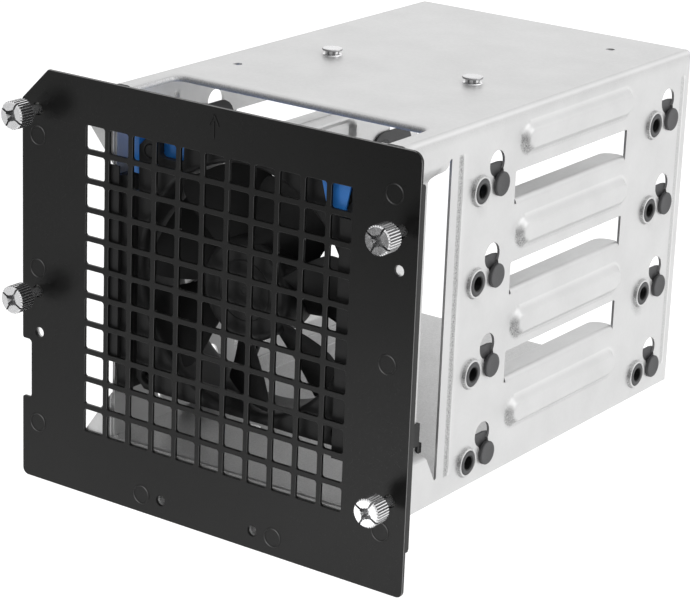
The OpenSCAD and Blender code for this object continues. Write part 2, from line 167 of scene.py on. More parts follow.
def zinc_coat():
    """Galvanised sheet: faint spangle, with painted shade as a darker mottle and painted highlights
    as light grey, where the mesh is marked.
    """
    mat, tree, shader = new_material("galvanised")
    spangle = ramp(tree, noise(tree, 60, 3), [(0.3, 0.605), (0.7, 0.655)])
    specks = noise(tree, 2400, 2, 0.7)
    mottle = ramp(tree, specks, [(0.35, 0.16), (0.65, 0.54)])
    # Painted shade: the darker mottle; painted highlight: the light grey.
    with_painted_shade = blend(tree, marked(tree, "painted_shade"), spangle, mottle)
    with_painted_highlight = blend(tree, marked(tree, "bright"), with_painted_shade, 0.92)
    tree.links.new(with_painted_highlight, shader.inputs["Base Color"])
    gloss = ramp(tree, noise(tree, 900, 4), [(0.3, 0.33), (0.7, 0.43)])
    tree.links.new(gloss, shader.inputs["Roughness"])
    shader.inputs["Metallic"].default_value = 0.7
    bump(tree, shader, specks, 0.15, 0.02 * MM)
    return mat


def tinted(mat, name, value):
    """Moves a material's colour towards a grey value where its mesh is marked."""
    tree, shader = mat.node_tree, mat.node_tree.nodes["Principled BSDF"]
    before = shader.inputs["Base Color"].links[0].from_socket
    after = blend(tree, marked(tree, name), before, value)
    tree.links.new(after, shader.inputs["Base Color"])


FINISHES = [
    zinc_coat(),
    plain("black_paint", (0.0055, 0.0056, 0.0053), (0.0075, 0.0076, 0.0073), 0.32, 0, 2600,
          0.03, 0.35, 0.05, 0.27),
    plain("plated_steel", (0.80, 0.80, 0.81), (0.86, 0.86, 0.87), 0.18, 0.84, strength=0),
    plain("dark_rubber", (0.055, 0.055, 0.057), (0.075, 0.075, 0.078), 0.6, 0, 2200, 0.02, 0.4),
    plain("black_plastic", (0.019, 0.019, 0.0192), (0.026, 0.026, 0.0264), 0.5, 0, 2000, 0.02,
          0.35, specular=0.3),
    plain("blue_plastic", (0.04, 0.29, 0.92), (0.05, 0.33, 0.98), 0.36, 0, 1400, 0.015, 0.2),
    plain("nylon", (0.7, 0.7, 0.68), (0.78, 0.78, 0.75), 0.5),
    plain("sintered_bronze", (0.42, 0.28, 0.13), (0.5, 0.34, 0.17), 0.5, 0.9, 3000, 0.02, 0.5),
    plain("motor_copper", (0.3, 0.11, 0.035), (0.42, 0.17, 0.06), 0.4, 0.6, 1200, 0.05, 0.6),
    plain("circuit_board", (0.012, 0.13, 0.045), (0.018, 0.17, 0.06), 0.4, 0, 1500, 0.01, 0.2)]
BY_SLOT = {mat.name.split(".")[0]: mat for mat in FINISHES}
# Painted shade darkens the rubber and the plated steel, and painted highlights lighten the black
# paint, where their meshes are marked.
tinted(BY_SLOT["dark_rubber"], "painted_shade", 0.004)
tinted(BY_SLOT["plated_steel"], "painted_shade", 0.05)
tinted(BY_SLOT["black_paint"], "bright", 0.4)

# ---- mesh helpers, in mm

LEAST_SPAN = 1e-6


def emit(name, mesh, slot, body, nodes, smooth=30.0, flat=True):
    """Makes a piece of a mesh in the row frame, gives it its material and its body."""
    mesh.name = name
    mesh.materials.clear()
    mesh.materials.append(BY_SLOT[slot])
    mesh.shade_smooth()
    mesh.set_sharp_from_angle(angle=math.radians(smooth))
    if flat:
        for face in mesh.polygons:
            corners = [mesh.vertices[v].co for v in face.vertices]
            spans = [max(c[i] for c in corners) - min(c[i] for c in corners) for i in range(3)]
            face.use_smooth = min(spans) > LEAST_SPAN
    obj = linked(name, mesh)
    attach(obj, body)
    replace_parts(obj, *nodes)


def cleaned(mesh, weld=0.0, slivers=False):
    """Joins points closer than weld, removes slivers and turns all faces outwards."""
    bm = bmesh.new()
    bm.from_mesh(mesh)
    if weld:
        bmesh.ops.remove_doubles(bm, verts=bm.verts, dist=weld)
    if slivers:
        bmesh.ops.dissolve_degenerate(bm, edges=bm.edges, dist=weld)
    bmesh.ops.recalc_face_normals(bm, faces=bm.faces)
    bm.to_mesh(mesh)
    bm.free()
    return mesh


def raw_mesh(verts, faces):
    mesh = bpy.data.meshes.new("raw")
    mesh.from_pydata([[c * MM for c in v] for v in verts], [], faces)
    return cleaned(mesh)


def mark(mesh, amount):
    """Stores amount(x, y, z) on the points: above 0 as painted shade, below 0 as painted highlight.
    """
    painted_shade = mesh.attributes.new("painted_shade", "FLOAT", "POINT").data
    bright = mesh.attributes.new("bright", "FLOAT", "POINT").data
    for k, vert in enumerate(mesh.vertices):
        value = amount(*(c / MM for c in vert.co))
        painted_shade[k].value, bright[k].value = max(0.0, value), max(0.0, -value)


def mark_faces(mesh, amount):
    """Stores amount(centre) on the faces as painted shade, for edges that stay crisp."""
    painted_shade = mesh.attributes.new("painted_shade", "FLOAT", "FACE").data
    for k, face in enumerate(mesh.polygons):
        painted_shade[k].value = amount(*(c / MM for c in face.center))


def joined(meshes):
    bm = bmesh.new()
    for mesh in meshes:
        bm.from_mesh(mesh)
        bpy.data.meshes.remove(mesh)
    out = bpy.data.meshes.new("joined")
    bm.to_mesh(out)
    bm.free()
    return out


def evaluated(obj):
    graph = bpy.context.evaluated_depsgraph_get()
    return bpy.data.meshes.new_from_object(obj.evaluated_get(graph))


def with_modifiers(mesh, build):
    """The mesh after modifiers, which build(obj) adds to a temporary object."""
    obj = linked("temporary", mesh)
    extra = build(obj) or []
    out = evaluated(obj)
    for o in [obj, *extra]:
        data = o.data
        bpy.data.objects.remove(o)
        bpy.data.meshes.remove(data)
    return out


def bevelled(mesh, width, angle=30):
    def build(obj):
        modifier = obj.modifiers.new("bevel", "BEVEL")
        modifier.width = width * MM
        modifier.segments = 2
        modifier.limit_method = "ANGLE"
        modifier.angle_limit = math.radians(angle)
    return with_modifiers(mesh, build)


def boolean(operation, mesh, others):
    """The mesh with other closed meshes added, "UNION", or taken away, "DIFFERENCE"."""
    def build(obj):
        tools = []
        for other in others:
            tool = linked("tool", other)
            modifier = obj.modifiers.new("boolean", "BOOLEAN")
            modifier.operation = operation
            modifier.solver = "EXACT"
            modifier.object = tool
            tools.append(tool)
        return tools
    return with_modifiers(mesh, build)


def arc(cx, cy, r, start, end, n):
    """Points on an arc between two angles in degrees, in n steps."""
    turns = [math.radians(start + (end - start) * k / n) for k in range(n + 1)]
    return [(cx + r * math.cos(a), cy + r * math.sin(a)) for a in turns]


def circle(cx, cy, r, n=32):
    return arc(cx, cy, r, 0, 360, n)[:-1]


def hole(cx, cy, r, n=28):
    """A circle that runs the other way round, as a sheet's holes do."""
    return circle(cx, cy, r, n)[::-1]


def round_rect(x0, y0, x1, y1, r, n=5):
    return (arc(x1 - r, y0 + r, r, -90, 0, n) + arc(x1 - r, y1 - r, r, 0, 90, n)
            + arc(x0 + r, y1 - r, r, 90, 180, n) + arc(x0 + r, y0 + r, r, 180, 270, n))


def rounded(points, radii, n=5):
    """A closed outline whose corners are rounded to the radii."""
    out = []
    count = len(points)
    for k in range(count):
        p, a, b = Vector(points[k]), Vector(points[k - 1]), Vector(points[(k + 1) % count])
        r = radii[k] if isinstance(radii, (list, tuple)) else radii
        u, v = (a - p).normalized(), (b - p).normalized()
        half = math.acos(max(-1, min(1, u.dot(v)))) / 2
        if r <= 0 or abs(half - math.pi / 2) < 0.01:
            out.append(tuple(p))
            continue
        reach = r / math.tan(half)
        centre = p + (u + v).normalized() * r / math.sin(half)
        s, e = p + u * reach - centre, p + v * reach - centre
        t0 = math.atan2(s.y, s.x)
        dt = math.atan2(e.y, e.x) - t0
        dt = (dt + math.pi) % (2 * math.pi) - math.pi
        out += [(centre.x + r * math.cos(t0 + dt * i / n),
                 centre.y + r * math.sin(t0 + dt * i / n)) for i in range(n + 1)]
    return out


PLANES = {"x": lambda u, v, w: (w, u, v), "y": lambda u, v, w: (u, w, v),
          "z": lambda u, v, w: (u, v, w)}


def sheet_metal(outline, holes, plane, w0, w1, edge=0.0):
    """A flat sheet with holes between two planes, its rims rounded by edge."""
    curve = bpy.data.curves.new("sheet", "CURVE")
    curve.dimensions = "2D"
    curve.fill_mode = "BOTH"
    curve.extrude = abs(w1 - w0) / 2 * MM - edge * MM
    curve.bevel_depth = edge * MM
    curve.bevel_resolution = 2
    curve.offset = -edge * MM
    for ring in [outline, *holes]:
        spline = curve.splines.new("POLY")
        spline.points.add(len(ring) - 1)
        spline.use_cyclic_u = True
        for point, (u, v) in zip(spline.points, ring):
            point.co = (u * MM, v * MM, 0, 1)
    obj = linked("sheet", curve)
    mesh = evaluated(obj)
    bpy.data.objects.remove(obj)
    bpy.data.curves.remove(curve)
    place = PLANES[plane]
    middle = (w0 + w1) / 2 * MM
    for vert in mesh.vertices:
        u, v, w = vert.co
        vert.co = place(u, v, w + middle)
    return cleaned(mesh, 1e-6)


def lofted(rings, endless=False):
    """A skin over outlines with the same number of points, capped or joined end to end."""
    n, last = len(rings[0]), len(rings) - 1
    pairs = [(k, k + 1) for k in range(last)] + ([(last, 0)] if endless else [])
    faces = [(a * n + i, a * n + (i + 1) % n, b * n + (i + 1) % n, b * n + i)
             for a, b in pairs for i in range(n)]
    if not endless:
        faces += [list(range(n))[::-1], list(range(last * n, (last + 1) * n))]
    return raw_mesh([point for ring in rings for point in ring], faces)


def prism(outline, plane, w0, w1):
    place = PLANES[plane]
    return lofted([[place(u, v, w) for u, v in outline] for w in (w0, w1)])


def slab(front, back, rows, cols):
    """A closed skin over two grids of points, in rows and columns."""
    size = rows * cols
    faces = []
    for i in range(rows - 1):
        for j in range(cols - 1):
            a = i * cols + j
            faces.append((a, a + 1, a + cols + 1, a + cols))
            faces.append((size + a, size + a + cols, size + a + cols + 1, size + a + 1))
    for i in range(rows - 1):
        for j in (0, cols - 1):
            a = i * cols + j
            faces.append((a, a + cols, size + a + cols, size + a))
    for j in range(cols - 1):
        for i in (0, rows - 1):
            a = i * cols + j
            faces.append((a, a + 1, size + a + 1, size + a))
    return raw_mesh(front + back, faces)


def lathe(profile, centre, axis, steps=40, wave=None):
    """A closed profile of (radius, height) points turned about an axis through centre."""
    rings = []
    for k in range(steps):
        turn = 2 * math.pi * k / steps
        ring = []
        for i, (r, h) in enumerate(profile):
            r += wave(k, i) if wave else 0.0
            point = PLANES[axis](r * math.cos(turn), r * math.sin(turn), h)
            ring.append([point[j] + centre[j] for j in range(3)])
        rings.append(ring)
    return cleaned(lofted(rings, True), 1e-7, True)


def block(x0, x1, y0, y1, z0, z1):
    verts = [(x, y, z) for x in (x0, x1) for y in (y0, y1) for z in (z0, z1)]
    faces = [(0, 1, 3, 2), (4, 6, 7, 5), (0, 4, 5, 1), (2, 3, 7, 6), (0, 2, 6, 4), (1, 5, 7, 3)]
    return raw_mesh(verts, faces)


def mm_box(node):
    low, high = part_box(node)
    return [c / MM for c in low], [c / MM for c in high]

# ---- sizes in mm: first the frame's own, then the sheet metal's details

(X_LEFT, _, _), (X_RIGHT, LENGTH, TOP) = mm_box("top_panel")
BASE = mm_box("right_wall")[0][2]
(PX0, PY0, PZ0), (PX1, PY1, PZ1) = mm_box("front_plate")
MOUNT = {m["name"]: m for m in frame["record"]["mounts"]}
PLACE = {name: [c / MM for c in m["pos_m"]] for name, m in MOUNT.items()}
_, BORES_Y, BORES_Z = PLACE["drive_holes_right_outer"]
ROW_PITCH = MOUNT["drive_holes_right_outer"]["dims"]["spacing_y_mm"] / 3
ROWS = [BORES_Z + ROW_PITCH * (1.5 - k) for k in range(4)]
BORE_SPAN = 101.6
COLS = [BORES_Y - BORE_SPAN / 2, BORES_Y + BORE_SPAN / 2]
SHEET = 0.8
FOLD = 1.65
COLLAR_R = 3.8
BUTTON_AWAY = 10.65
KEYHOLE_TURN = math.radians(37.7)
SLOT_Y = (58.1, 123.5)
SLOT_UP, SHELF_DOWN, SHELF_W = 1.9, 7.45, 7.5
RIDGE_Y, RIDGE_OUT, RIDGE_FOOT = (64.5, 120.5), 2.0, 5.1
RIDGES = [TOP - 9.9 - 28.8 * k for k in range(4)]
BEAD_Y, REAR_BEAD_Y, BEAD_Z = 28.3, 158.3, (21.0, 121.2)
STEP_IN, STEP_Y = 3.5, 16.4
STEP_Z0, STEP_Z1, STEP_SLOPE = BASE + 17.1, TOP - 14, 5.0
OPEN_X0, OPEN_X1, OPEN_Y = X_LEFT + 5.7, X_RIGHT - 6.8, 22.0
LIP_H, LIP_BEND, LIP_CORNER = 2.0, 1.85, 3.0

# ---- folded upper shell


def smooth_step(a, b, v):
    t = max(0.0, min(1.0, (v - a) / (b - a)))
    return t * t * (3 - 2 * t)


def off_ridge(y, z, ridge_z):
    """How far a point of a wall is from the middle line of a ridge."""
    return math.hypot(y - max(RIDGE_Y[0], min(RIDGE_Y[1], y)), z - ridge_z)


def ridge_height(y, z):
    """How far the ridges stand out at a point of a wall."""
    rise = 0.0
    for ridge_z in RIDGES:
        away = off_ridge(y, z, ridge_z)
        flank = smooth_step(0.0, 2.7, RIDGE_FOOT - away)
        rise = max(rise, RIDGE_OUT * flank * (1 - 0.1 * (away / 5) ** 2))
    return rise


def wall_rise(y, z, right):
    """How far a wall's outer face stands out from its flat plane."""
    low, high = BEAD_Z
    along = smooth_step(low, low + 2.4, z) * (1 - smooth_step(high - 2.4, high, z))
    bead = max(0.0, 1 - ((y - BEAD_Y) / 1.5) ** 2)
    rear = max(0.0, 1 - ((y - REAR_BEAD_Y) / 1.3) ** 2)
    rise = ridge_height(y, z) + 0.45 * bead * bead * along
    rise += 0.35 * rear * rear * along
    if right:
        across = 1 - smooth_step(17.5, 23.2, y)
        above = smooth_step(STEP_Z0 - 2.0, STEP_Z0 + 0.3, z)
        below = 1 - smooth_step(STEP_Z1 - 0.6, STEP_Z1 + STEP_SLOPE + 0.6, z)
        rise -= STEP_IN * across * above * below
    return rise


def grid_lines(low, high, coarse, fine_zones):
    """Line positions: coarse everywhere, and a fine step inside the zones."""
    lines = {round(low, 3), round(high, 3)}
    count = int((high - low) / coarse) + 1
    for k in range(count + 1):
        lines.add(round(low + (high - low) * k / count, 3))
    for a, b, step in fine_zones:
        a, b = max(a, low), min(b, high)
        lines = {v for v in lines if not a < v < b} | {round(a, 3), round(b, 3)}
        n = max(1, int(round((b - a) / step)))
        for k in range(n + 1):
            lines.add(round(a + (b - a) * k / n, 3))
    ordered = sorted(lines)
    out = [ordered[0]]
    for v in ordered[1:]:
        if v - out[-1] > 0.12:
            out.append(v)
    out[-1] = round(high, 3)
    return out


def shell_surface():
    """Left wall, top and right wall as one folded sheet, with its ridges and beads."""
    y_lines = grid_lines(0, LENGTH, 4.0, [(9, 26, 1.0), (26.6, 30, 0.3), (58.5, 67, 0.7),
                                          (118, 126.6, 0.7), (156.8, 159.8, 0.3)])
    z_zones = [(ridge_z - 5.8, ridge_z + 5.8, 0.6) for ridge_z in RIDGES]
    z_zones += [(STEP_Z0 - 2.4, STEP_Z0 + 0.6, 0.3), (118.4, 121.6, 0.5), (20.6, 23.6, 0.6)]
    z_lines = grid_lines(BASE, TOP - FOLD, 4.0, z_zones)
    x_lines = grid_lines(X_LEFT + FOLD, X_RIGHT - FOLD, 6.0,
                         [(X_LEFT, X_LEFT + FOLD + 1.2, 0.4), (X_RIGHT - FOLD - 1.2, X_RIGHT, 0.4)])
    folds = 8

    def fold(x, start):
        turns = [math.radians(start - 90 * k / folds) for k in range(1, folds)]
        return [("fold", x + FOLD * math.cos(a), TOP - FOLD + FOLD * math.sin(a), math.cos(a),
                 math.sin(a)) for a in turns]

    profile = [("left", X_LEFT, z, -1.0, 0.0) for z in z_lines]
    profile += fold(X_LEFT + FOLD, 180)
    profile += [("top", x, TOP, 0.0, 1.0) for x in x_lines]
    profile += fold(X_RIGHT - FOLD, 90)
    profile += [("right", X_RIGHT, z, 1.0, 0.0) for z in reversed(z_lines)]

    def skin(depth):
        verts = []
        for part, x, z, nx, nz in profile:
            for y in y_lines:
                rise = -depth
                if part in ("left", "right"):
                    rise += wall_rise(y, z, part == "right")
                verts.append((x + nx * rise, y, z + nz * rise))
        return verts

    return slab(skin(0.0), skin(SHEET), len(profile), len(y_lines))


def keyhole(y, z):
    """The outline of the entry hole, the neck slot and the seat of a button."""
    entry_y = y + BUTTON_AWAY * math.cos(KEYHOLE_TURN)
    entry_z = z + BUTTON_AWAY * math.sin(KEYHOLE_TURN)
    seat_y, neck_r = y + BUTTON_AWAY, 2.6
    my, mz = (entry_y + seat_y) / 2, (entry_z + z) / 2
    out = []
    for k in range(56):
        a = 2 * math.pi * k / 56
        u, v = math.cos(a), math.sin(a)
        reach = 0.0
        for cy, cz, r in ((entry_y, entry_z, 4.0), (seat_y, z, neck_r), (my, mz, neck_r)):
            dy, dz = cy - my, cz - mz
            along = dy * u + dz * v
            gap = r * r - (dy * dy + dz * dz - along * along)
            if gap > 0:
                reach = max(reach, along + math.sqrt(gap))
        out.append((my + reach * u, mz + reach * v))
    return out


def shell_cutters():
    """What is taken from the shell: slots, windows, isolator holes and the top opening."""
    both = (X_LEFT - 6, X_RIGHT + 6)
    slots = [prism(round_rect(SLOT_Y[0], z - SHELF_DOWN - 0.9, SLOT_Y[1], z + SLOT_UP, 0.6, 4),
                   "x", *both) for z in ROWS[:3]]
    window = rounded([(STEP_Y, STEP_Z0), (22.0, BASE + 7.2), (23.1, BASE + 7.4),
                      (23.1, TOP - 7.5), (22.0, TOP - 8.3), (21.0, TOP - 11.0),
                      (STEP_Y, STEP_Z1 + 0.6)], [1.2, 0.6, 0.4, 0.4, 0.6, 3.0, 2.0])
    seats = []
    for z in ROWS:
        for y in COLS:
            seats.append(prism(circle(y, z, COLLAR_R + 0.02, 40), "x", *both))
            seats.append(prism(keyhole(y, z), "x", *both))
    relief = prism(round_rect(-5, 19.8, 9.6, 26.8, 1.0), "x", X_RIGHT - 3, X_RIGHT + 6)
    wider = LIP_BEND - SHEET
    corner = LIP_CORNER + LIP_BEND
    opening = rounded([(OPEN_X0 - wider, -5), (OPEN_X1 + wider, -5),
                       (OPEN_X1 + wider, OPEN_Y + wider), (OPEN_X0 - wider, OPEN_Y + wider)],
                      [0, 0, corner, corner], 8)
    in_top = [opening, *(circle(x, y, 1.4, 24) for x, y in ((-27.3, 44.2), (46.6, 144.4)))]
    return [*slots, prism(window, "x", *both), *seats, relief,
            *(prism(outline, "z", TOP - 4, TOP + 4) for outline in in_top)]


def opening_lip():
    """The turned-down edge of the top opening, carried round its left, rear and right side."""
    r, bend = LIP_CORNER, LIP_BEND
    x0, x1, y1 = OPEN_X0 + SHEET, OPEN_X1 - SHEET, OPEN_Y - SHEET

    def corner(x, start):
        turns = [math.radians(start - 90 * k / 8) for k in range(1, 9)]
        return [(x + r * math.cos(a), y1 - r + r * math.sin(a), math.cos(a), math.sin(a))
                for a in turns]

    path = [(x0, y, -1, 0) for y in (0.0, 6.0, y1 - r)] + corner(x0 + r, 180)
    path += [(x0 + r + (x1 - x0 - 2 * r) * k / 11, y1, 0, 1) for k in range(1, 12)]
    path += corner(x1 - r, 90) + [(x1, 6.0, 1, 0), (x1, 0.0, 1, 0)]
    outer = [(bend * (1 - math.sin(math.radians(t))), TOP - bend * (1 - math.cos(math.radians(t))))
             for t in range(0, 91, 15)]
    small = bend - SHEET
    inner = [(bend - small * math.sin(math.radians(t)),
              TOP - bend + small * math.cos(math.radians(t))) for t in range(90, -1, -30)]
    section = outer + [(0.0, TOP - LIP_H), (SHEET, TOP - LIP_H)] + inner
    return lofted([[(x + nx * across, y + ny * across, z) for across, z in section]
                   for x, y, nx, ny in path])


def collar(x, y, z, side):
    """The extruded collar round an isolator bushing."""
    outline = [(COLLAR_R, -0.75), (COLLAR_R, 0.9), (3.92, 1.06), (4.15, 1.1), (4.35, 1.04),
               (4.5, 0.85), (4.62, 0.5), (4.75, 0.15), (4.85, -0.02), (4.85, -0.2), (4.4, -0.75)]
    return lathe([(r, side * h) for r, h in outline], (x, y, z), "x")


def shelf(z, side):
    """The shelf bent in from a slot's lower edge, with rounded inner corners."""
    low = z - SHELF_DOWN
    bend, steps = 1.7, 8
    y0, y1 = SLOT_Y[0] + 1.1, SLOT_Y[1] - 0.1
    x0 = X_RIGHT - SHEET
    top = low + 0.8
    section = [(X_RIGHT, low - 0.92), (X_RIGHT, top - bend)]
    section += [(X_RIGHT - bend * (1 - math.cos(a)), top - bend * (1 - math.sin(a)))
                for a in (math.radians(90 * k / steps) for k in range(1, steps + 1))]
    reach = X_RIGHT - SHELF_W
    section += [(reach + 0.2, top), (reach, top - 0.2), (reach, top - SHEET + 0.2),
                (reach + 0.2, top - SHEET), (x0 - 0.3, top - SHEET), (x0, top - SHEET - 0.4),
                (x0, low - 0.92)]
    trims = [(0, 4.0), (0.6, 2.4), (1.6, 1.1), (3, 0.3), (5, 0.0)]
    stations = [(y0 + along, trim) for along, trim in trims]
    stations += [(y0 + 5 + (y1 - y0 - 10) * k / 6, 0.0) for k in range(1, 6)]
    stations += [(y1 - along, trim) for along, trim in reversed(trims)]
    mesh = lofted([[(max(x, reach + trim) if x < x0 - 0.5 else x, y, height)
                    for x, height in section] for y, trim in stations])
    if side < 0:
        middle = (X_LEFT + X_RIGHT) / 2 * MM
        for vert in mesh.vertices:
            vert.co.x = 2 * middle - vert.co.x
        cleaned(mesh)
    return mesh


def front_tab(x0, x1):
    """A tab turned down from the top, riveted to the front frame."""
    outline = rounded([(x0, 115), (x1, 115), (x1, TOP - 0.4), (x0, TOP - 0.4)], [1.5, 1.5, 0, 0])
    return sheet_metal(outline, [circle((x0 + x1) / 2, 119, 1.2, 20)], "y", 0.0, SHEET, 0.1)


def ridge_painted_light(y, z, ridge_z):
    """Painted light on a drawn ridge: a painted highlight on the upper rim, painted shade on the
    lower rim and a mottled painted shade at the front end.
    """
    away = off_ridge(y, z, ridge_z)
    up = (z - ridge_z) / max(away, 0.1)
    rim = max(0.0, 1 - abs(away - 5.0) / 0.7)
    amount = rim * (-0.4 * smooth_step(-0.1, 0.6, up) + 0.32 * smooth_step(0.0, 0.7, -up))
    # Painted shade on the lower flank.
    if 3.0 < away < 4.6 and up < -0.5:
        amount = max(amount, 0.1)
    # Mottled painted shade on the ridge's front end, strongest where it faces forward and down.
    before = RIDGE_Y[0] - y
    if before > 0 and 1.6 < away < 5.4:
        facing = max(0.0, before * 0.75 + (ridge_z - z) * 0.66) / away
        amount = max(amount, 0.95 * facing * smooth_step(1.6, 3.2, away)
                     * (1 - smooth_step(4.6, 5.4, away)))
    return amount


def edge_painted_light(y, z, edge):
    """Painted light on the shell's top folds and the opening's lip: a painted highlight along the
    middle of each fold, painted shade towards the fold's edges and on the lip.
    """
    in_front = y < OPEN_Y + 0.5
    if z <= TOP - FOLD:
        return 0.45 if z > TOP - LIP_H - 0.1 and in_front else 0.0
    if edge < FOLD + 0.1 and y > 0.5:
        turn = math.atan2(z - (TOP - FOLD), max(0.0, FOLD - edge))
        return 0.2 - 0.48 * math.sin(2 * turn) ** 2
    return 0.45 if in_front and z < TOP - 0.3 and edge > 4 else 0.0


def shell_painted_light(x, y, z):
    """How much painted shade (above 0) or painted highlight (below 0) the shell gets at a point."""
    edge = min(x - X_LEFT, X_RIGHT - x)
    if z > TOP - FOLD or edge > 1.5:
        return edge_painted_light(y, z, edge)
    amount = 0.0
    # Painted shade on the front side of each bead, painted highlight on its rear side.
    if 21.5 < z < 120.5:
        across = y - BEAD_Y
        if -1.9 < across <= 0.5:
            amount = 0.85 * math.sqrt(max(0.0, 1 - abs(across + 0.5) / 1.2))
        elif 0.5 < across < 1.9:
            amount = -0.45 * max(0.0, 1 - abs(across - 1.2) / 0.7)
        elif abs(y - REAR_BEAD_Y) < 1.4:
            amount = 0.3 if y < REAR_BEAD_Y else -0.4
    for ridge_z in RIDGES:
        if 58.5 < y < 126.5 and abs(z - ridge_z) < 6:
            amount = ridge_painted_light(y, z, ridge_z)
    # Painted shade round each collar's flank, darker on its front side.
    for row in ROWS:
        for col in COLS:
            if 4.45 < math.hypot(y - col, z - row) < 4.9:
                amount = 0.75 if y < col else 0.2
    return amount


SIDES = ((1, X_RIGHT), (-1, X_LEFT))
extras = [opening_lip()]
extras += [collar(wall, y, z, side) for z in ROWS for y in COLS for side, wall in SIDES]
extras += [shelf(z, side) for z in ROWS[:3] for side, _ in SIDES]
extras += [front_tab(X_LEFT + 0.1, X_LEFT + 8.8), front_tab(X_RIGHT - 9.1, X_RIGHT - 0.5)]
shell = joined([boolean("DIFFERENCE", shell_surface(), shell_cutters()), *extras])
mark(shell, shell_painted_light)
emit("shell", shell, "galvanised", "cage",
     ["top_panel", "left_wall", "right_wall", "shelves"], 24, False)

# ---- front plate

PLATE_BACK = PY0 + 1.0
GRILLE_X, GRILLE_Z, GRILLE_PITCH, GRILLE_HALF = 0.5, 64.4, 9.12, 3.7
SCREW_HOLE_R, PLATE_HOLE_R, RIVET_HOLE_R = 1.95, 1.65, 1.2
SCREW_NAMES = ["upper_left", "lower_left", "upper_right", "lower_right"]
SCREWS = [PLACE["thread_" + name][::2] for name in SCREW_NAMES]
PLATE_HOLES = [(-17.75, 0), (17.75, 0), (-67.4, 43.3), (66.5, 92.8)]
RIVETS = [(-34.5, 119), (61.5, 119), (-20, 9), (14, 9), (48, 9)]
RINGS = [(-68, 106.9), (-68, 64.3), (-68, 13), (-25.4, 0), (25.4, 0), (64, 13), (64, 64.3),
         (64, 114.7)]


def plate_mesh():
    r, chamfer, recess = 2.2, 10.4, 3.6
    outline = rounded([(PX0, PZ0), (PX1, PZ0), (PX1, PZ1), (PX0 + chamfer, PZ1),
                       (PX0, PZ1 - chamfer), (PX0, 40.1), (PX0 + recess, 40.1),
                       (PX0 + recess, 20.8), (PX0, 20.8)],
                      [r, r, r + 1.0, 0.8, 0.8, 0.8, 1.2, 1.2, 0.8], 7)
    steps, half = range(-5, 6), GRILLE_HALF
    centres = [(GRILLE_X + i * GRILLE_PITCH, GRILLE_Z + j * GRILLE_PITCH)
               for i in steps for j in steps]
    holes = [round_rect(x - half, z - half, x + half, z + half, 0.85)[::-1] for x, z in centres]
    holes += [hole(x, z, SCREW_HOLE_R) for x, z in SCREWS]
    holes += [hole(x, z, PLATE_HOLE_R) for x, z in PLATE_HOLES]
    return sheet_metal(outline, holes, "y", PY0, PLATE_BACK, 0.14)


def pressed_ring(x, z):
    """A fine raised ring left by a weld on the plate's other side."""
    r, width, proud = 2.9, 0.5, 0.2
    return lathe([(r - width / 2, -0.02), (r - width / 4, -proud), (r + width / 4, -proud),
                  (r + width / 2, -0.02), (r, 0.05)], (x, PY0, z), "y")


def return_flange():
    section = [(PX1 - 0.05, PLATE_BACK - 0.5), (PX1, PLATE_BACK - 0.3), (PX1, 0.6),
               (PX1 - 0.2, PY1), (PX1 - 0.8, PY1), (PX1 - 1.0, 0.6),
               (PX1 - 1.0, PLATE_BACK - 0.5)]
    low, high = 8.4, 118.7
    return lofted([[(x, min(y, PY1 - 0.6) if z in (low, high) else y, z) for x, y in section]
                   for z in (low, 9.2, 60, 117.9, high)])


def arrow_strokes():
    """A thin raised arrow that says which way is up."""
    tip, half_width, proud = PZ1 - 2.4, 0.24, 0.16
    strokes = [((0, tip), (-1.85, tip - 3.4)), ((0, tip), (1.85, tip - 3.4)),
               ((0, tip - 2.0), (0, tip - 7.2))]
    out = []
    for (x0, z0), (x1, z1) in strokes:
        d = Vector((x1 - x0, z1 - z0)).normalized()
        n = Vector((-d.y, d.x)) * half_width
        ring = [(x0 + n.x, z0 + n.y), (x1 + n.x, z1 + n.y), (x1 - n.x, z1 - n.y),
                (x0 - n.x, z0 - n.y)]
        out.append(bevelled(prism(ring, "y", PY0 - proud, PY0 + 0.05), 0.1))
    return out


def plate_painted_highlights(x, y, z):
    """Painted highlights: light caught by raised rings, by the outline and by two sides of each
    grille hole.
    """
    if y < PY0 - 0.03:
        away, angle = min((math.hypot(x - rx, z - rz), math.atan2(z - rz, x - rx))
                          for rx, rz in RINGS)
        return -0.45 * math.cos(angle - 0.9) ** 6 - 0.03 if away < 4 else 0.0
    if not PY0 + 0.01 < y < PY0 + 0.135:
        return 0.0
    if x > PX1 - 0.3 or z > PZ1 - 0.3:
        return -0.9
    if max(abs(x - GRILLE_X), abs(z - GRILLE_Z)) > 51:
        return 0.0
    u = (x - GRILLE_X + GRILLE_PITCH / 2) % GRILLE_PITCH - GRILLE_PITCH / 2
    v = (z - GRILLE_Z + GRILLE_PITCH / 2) % GRILLE_PITCH - GRILLE_PITCH / 2
    return -0.3 if u < -3.5 and abs(v) < 3.2 else (-0.12 if v > 3.5 else 0.0)


plate = joined([plate_mesh(), return_flange(), *arrow_strokes(),
                *(pressed_ring(x, z) for x, z in RINGS)])
mark(plate, plate_painted_highlights)
emit("plate", plate, "black_paint", "cage", ["front_plate"], 18)

# ---- thumbscrews

HEAD_R, HEAD_LENGTH = 4.4, 6.0


